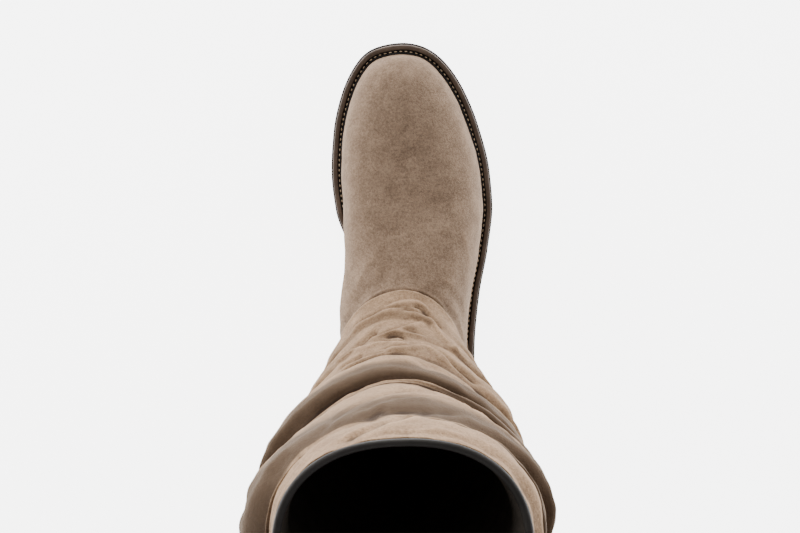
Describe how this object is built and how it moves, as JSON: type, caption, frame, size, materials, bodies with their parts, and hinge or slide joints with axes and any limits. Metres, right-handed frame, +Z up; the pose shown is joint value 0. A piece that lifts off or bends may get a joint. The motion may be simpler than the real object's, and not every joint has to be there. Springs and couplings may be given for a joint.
{
  "type": "slouch boot",
  "caption": "Slouched mid-calf pull-on boot in taupe suede, with a round toe, a dark leather welt, a low block heel and a black leather collar edge. Right foot.",
  "frame": {"origin": "on the floor, in the middle of the heel's resting face", "axes": "+X to the outer side of the right foot, +Y from the heel towards the toe, +Z up the leg"},
  "size_m": [0.1601, 0.2943, 0.3327],
  "materials": {
    "suede": "matt taupe suede with a short nap",
    "welt_leather": "dark brown, smooth, half matt",
    "sole_rubber": "dark brown rubber",
    "heel_stack": "dark brown stacked heel, half matt",
    "lining_leather": "black smooth leather, soft sheen",
    "insole_board": "black matt"
  },
  "bodies": {
    "root": {"outsole": "sole_rubber", "heel_lift": "sole_rubber", "heel": "heel_stack", "welt": "welt_leather", "insole": "insole_board", "upper": "suede", "counter": "suede", "shaft": "suede", "collar_binding": "lining_leather"}
  },
  "joints": []
}
